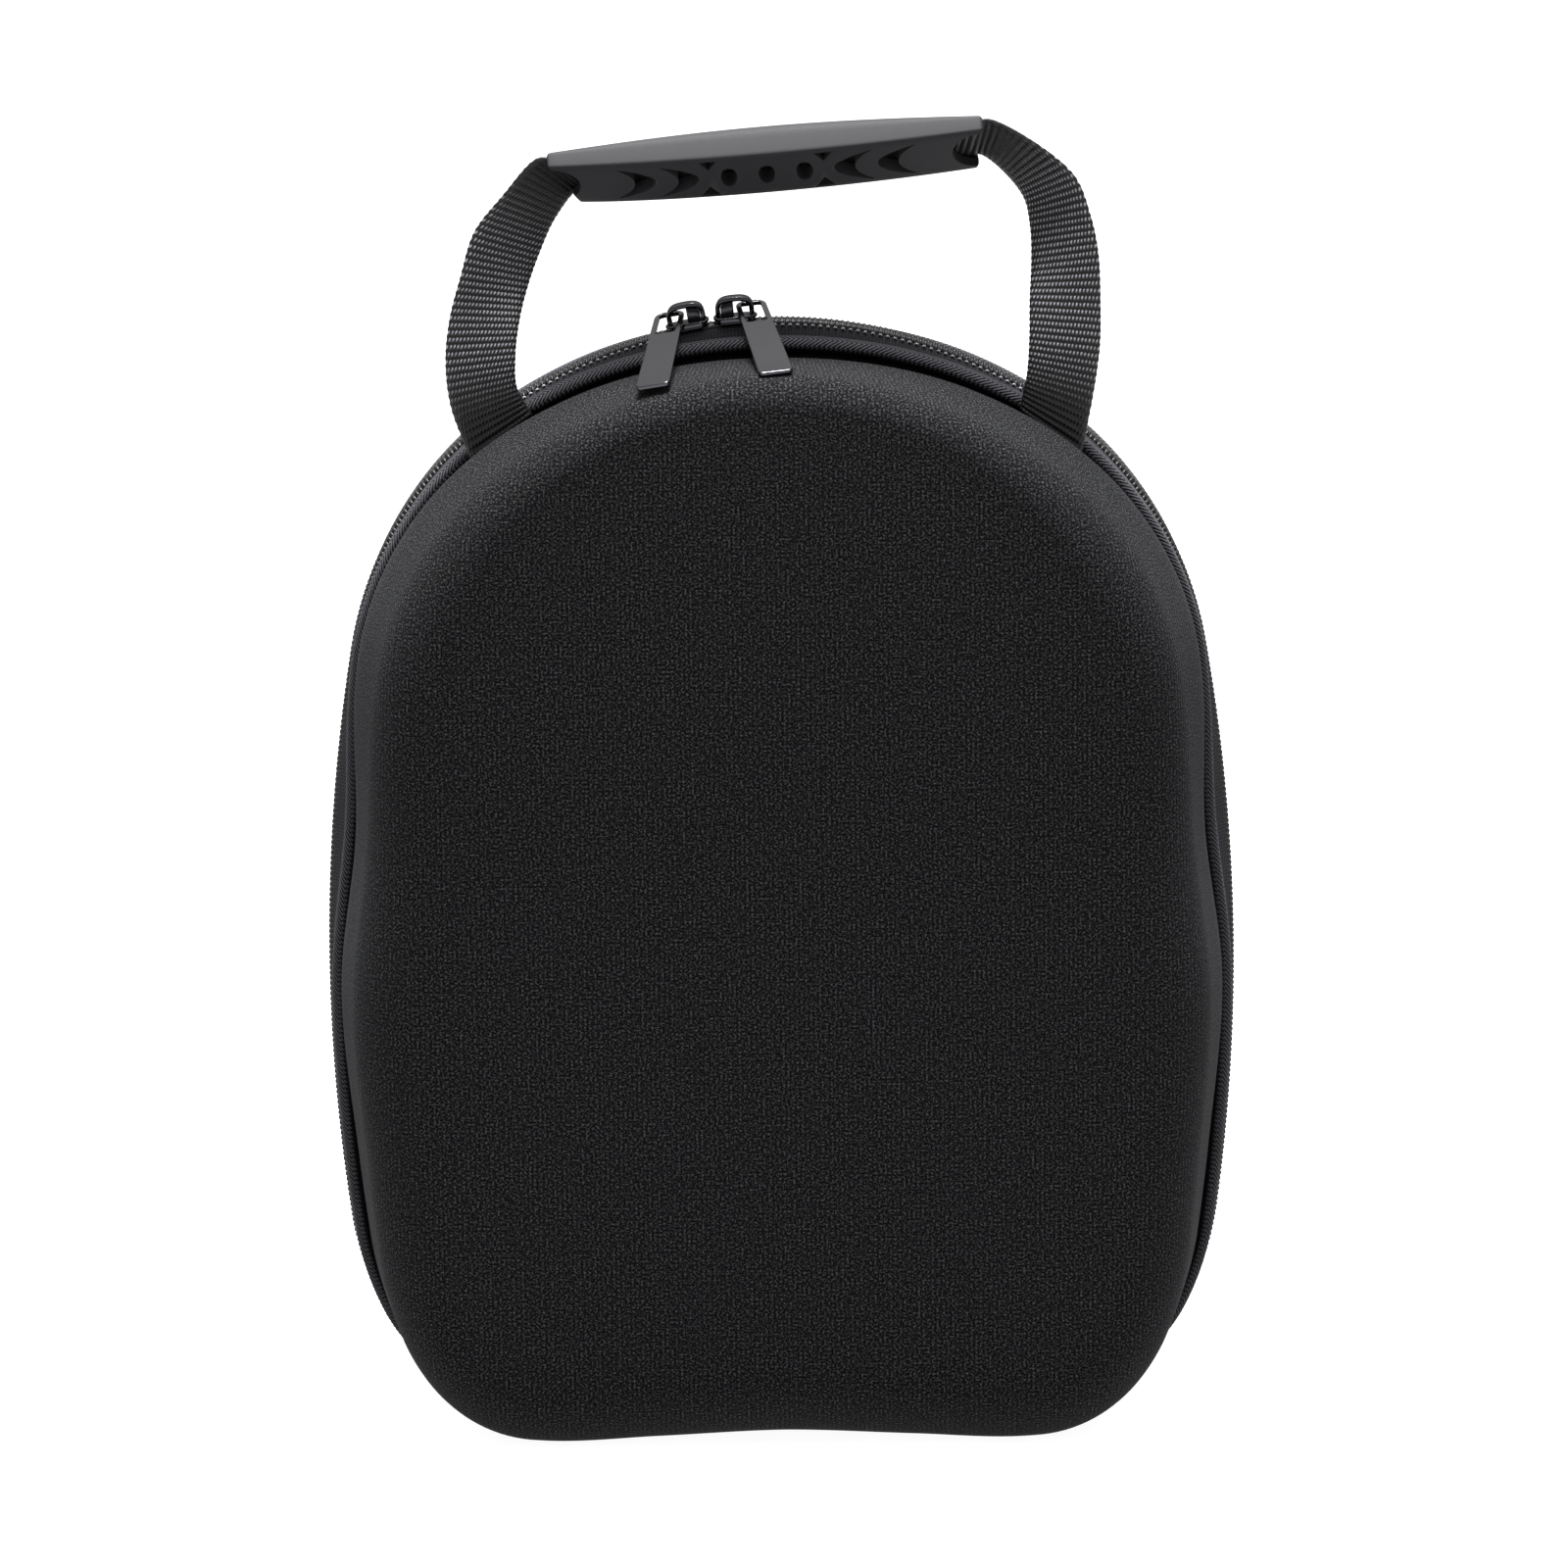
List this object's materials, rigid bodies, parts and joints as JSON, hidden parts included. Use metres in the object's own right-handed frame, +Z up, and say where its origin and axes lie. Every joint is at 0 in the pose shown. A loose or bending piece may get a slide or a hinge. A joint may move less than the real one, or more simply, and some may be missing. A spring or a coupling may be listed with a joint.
{
  "type": "cap carrier",
  "caption": "Moulded hard-shell carrier for caps, closed by a zip round its rim, with bound edges and a webbing handle held in a pierced rubber grip",
  "frame": {"origin": "middle of the floor area, on the plane the case stands on", "axes": "+Z up, +X to the right as seen from the front, the front shell faces -Y"},
  "size_m": [0.242, 0.1204, 0.3496],
  "materials": {
    "shell_fabric": "matte knitted polyester laminated on moulded EVA foam",
    "binding_twill": "matte herringbone twill tape",
    "zip_tape": "matte woven polyester tape",
    "zip_coil": "satin nylon coil",
    "black_nickel": "satin black nickel plate on cast zinc",
    "webbing": "ribbed polypropylene webbing",
    "grip_rubber": "smooth moulded rubber"
  },
  "bodies": {
    "case": {"front_shell": "shell_fabric", "back_shell": "shell_fabric", "front_binding": "binding_twill", "back_binding": "binding_twill", "front_zip_tape": "zip_tape", "back_zip_tape": "zip_tape", "zip_coil": "zip_coil", "hinge_tape": "zip_tape", "left_slider": "black_nickel", "right_slider": "black_nickel", "handle_webbing": "webbing", "handle_grip": "grip_rubber"},
    "left_pull": {"left_pull": "black_nickel"},
    "right_pull": {"right_pull": "black_nickel"}
  },
  "joints": [
    {"name": "left_pull_swing", "type": "hinge", "parent": "case", "child": "left_pull", "pos_m": [-0.0274, 0.00263, 0.29487], "axis": [-0.9747, 0.134, -0.1791], "range_deg": [0, 23]},
    {"name": "right_pull_swing", "type": "hinge", "parent": "case", "child": "right_pull", "pos_m": [-0.00648, 0.00263, 0.29764], "axis": [-0.9877, -0.134, -0.0809], "range_deg": [0, 23]}
  ]
}
